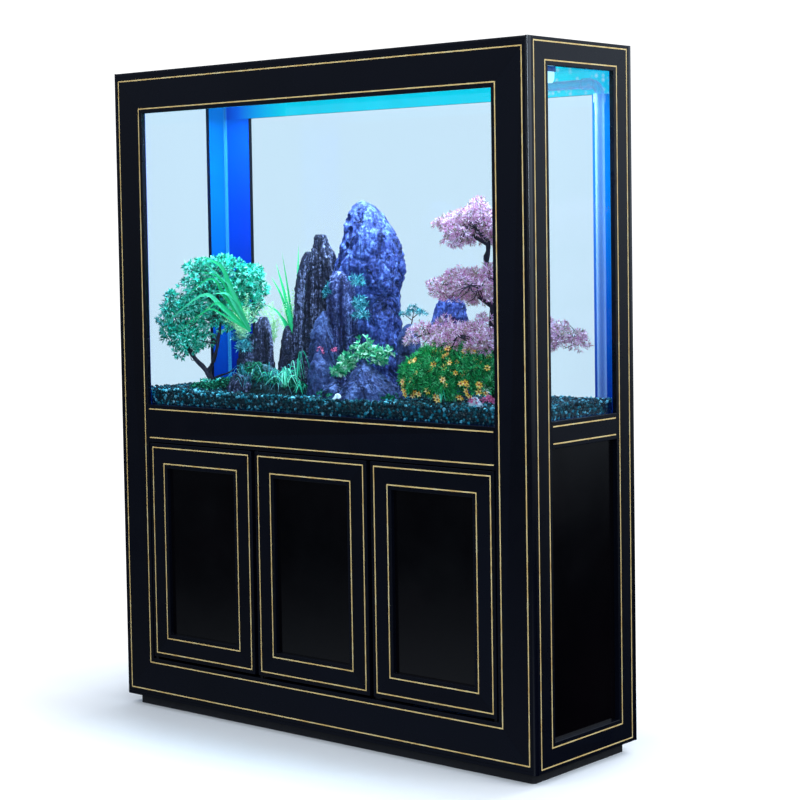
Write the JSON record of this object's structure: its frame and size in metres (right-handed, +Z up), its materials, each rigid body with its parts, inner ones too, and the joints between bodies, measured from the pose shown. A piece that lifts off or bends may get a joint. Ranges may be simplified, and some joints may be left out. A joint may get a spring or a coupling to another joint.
{
  "type": "aquarium on stand",
  "caption": "Tall see-through divider aquarium: a glass tank with a planted rock landscape above a cabinet with framed doors, in one black casing with thin brass lines.",
  "frame": {"origin": "on the floor, in the middle of the casing's footprint", "axes": "+X to the right as seen from the doors, +Y to the back, +Z up"},
  "size_m": [1.2, 0.36, 1.48],
  "materials": {
    "black_lacquer": "gloss",
    "brass_line": "satin",
    "dark_board": "matte",
    "tank_glass": "polished",
    "sump_glass": "polished",
    "silicone": "satin",
    "lamp_metal": "satin",
    "lamp_opal": "satin",
    "clear_pipe": "gloss",
    "pipe_fitting": "satin",
    "valve_red": "satin",
    "black_plastic": "matte",
    "steel": "satin",
    "sponge": "matte",
    "gravel": "matte",
    "rock": "matte",
    "green_foliage": "matte",
    "pink_foliage": "matte",
    "flower_foliage": "matte"
  },
  "bodies": {
    "cabinet": {"back_frame": "black_lacquer", "back_panel": "black_lacquer", "base_board": "black_lacquer", "bonsai_green": "green_foliage", "bonsai_pink": "pink_foliage", "bulkheads": "pipe_fitting", "cable_grommet": "black_plastic", "corner_beads": "black_lacquer", "corner_posts": "dark_board", "dividers": "dark_board", "filter_sponge": "sponge", "filter_tray": "black_plastic", "flower_bush": "flower_foliage", "frame_inlays": "brass_line", "front_frame": "black_lacquer", "front_mid_rail": "black_lacquer", "gravel_bed": "gravel", "latch_bodies": "black_plastic", "latch_rail": "dark_board", "left_side_frame": "black_lacquer", "lid_pins": "steel", "light_bar": "lamp_metal", "light_diffuser": "lamp_opal", "overflow_pipe": "clear_pipe", "plinth": "dark_board", "pump_cover": "black_plastic", "pump_housing": "black_plastic", "return_pipe": "clear_pipe", "right_side_frame": "black_lacquer", "rocks": "rock", "side_panels": "black_lacquer", "silicone_seams": "silicone", "sump_tank": "sump_glass", "tank_back_glass": "tank_glass", "tank_bottom_glass": "tank_glass", "tank_braces": "tank_glass", "tank_deck": "dark_board", "tank_front_glass": "tank_glass", "tank_side_glass": "tank_glass", "top_cap": "black_lacquer", "valve_body": "pipe_fitting"},
    "door_left": {"door_frame_left": "black_lacquer", "door_panel_left": "black_lacquer", "door_inlay_left": "brass_line", "door_hardware_left": "steel"},
    "latch_left": {"latch_plunger_left": "steel"},
    "door_middle": {"door_frame_middle": "black_lacquer", "door_panel_middle": "black_lacquer", "door_inlay_middle": "brass_line", "door_hardware_middle": "steel"},
    "latch_middle": {"latch_plunger_middle": "steel"},
    "door_right": {"door_frame_right": "black_lacquer", "door_panel_right": "black_lacquer", "door_inlay_right": "brass_line", "door_hardware_right": "steel"},
    "latch_right": {"latch_plunger_right": "steel"},
    "lid_left": {"left_lid": "black_lacquer"},
    "lid_right": {"right_lid": "black_lacquer"},
    "valve_handle": {"valve_lever": "valve_red"},
    "impeller": {"pump_impeller": "black_plastic"}
  },
  "joints": [
    {"name": "door_left_hinge", "type": "hinge", "parent": "cabinet", "child": "door_left", "pos_m": [-0.4985, -0.175, 0.37], "axis": [0, 0, -1], "range_deg": [0, 100]},
    {"name": "latch_left_slide", "type": "slide", "parent": "cabinet", "child": "latch_left", "axis": [0, 1, 0], "range_m": [0, 0.003], "stiffness_N_per_m": 800, "springref_m": -0.002},
    {"name": "door_middle_hinge", "type": "hinge", "parent": "cabinet", "child": "door_middle", "pos_m": [-0.1585, -0.175, 0.37], "axis": [0, 0, -1], "range_deg": [0, 100]},
    {"name": "latch_middle_slide", "type": "slide", "parent": "cabinet", "child": "latch_middle", "axis": [0, 1, 0], "range_m": [0, 0.003], "stiffness_N_per_m": 800, "springref_m": -0.002},
    {"name": "door_right_hinge", "type": "hinge", "parent": "cabinet", "child": "door_right", "pos_m": [0.4985, -0.175, 0.37], "axis": [0, 0, 1], "range_deg": [0, 100]},
    {"name": "latch_right_slide", "type": "slide", "parent": "cabinet", "child": "latch_right", "axis": [0, 1, 0], "range_m": [0, 0.003], "stiffness_N_per_m": 800, "springref_m": -0.002},
    {"name": "lid_left_hinge", "type": "hinge", "parent": "cabinet", "child": "lid_left", "pos_m": [-0.275, 0.1045, 1.4755], "axis": [-1, 0, 0], "range_deg": [0, 80]},
    {"name": "lid_right_hinge", "type": "hinge", "parent": "cabinet", "child": "lid_right", "pos_m": [0.275, 0.1045, 1.4755], "axis": [-1, 0, 0], "range_deg": [0, 80]},
    {"name": "valve_turn", "type": "hinge", "parent": "cabinet", "child": "valve_handle", "pos_m": [0.546, 0.11, 0.466], "axis": [0, 1, 0], "range_deg": [0, 90]},
    {"name": "impeller_spin", "type": "hinge", "parent": "cabinet", "child": "impeller", "pos_m": [0.49, 0.124, 0.077], "axis": [1, 0, 0], "continuous": true}
  ]
}
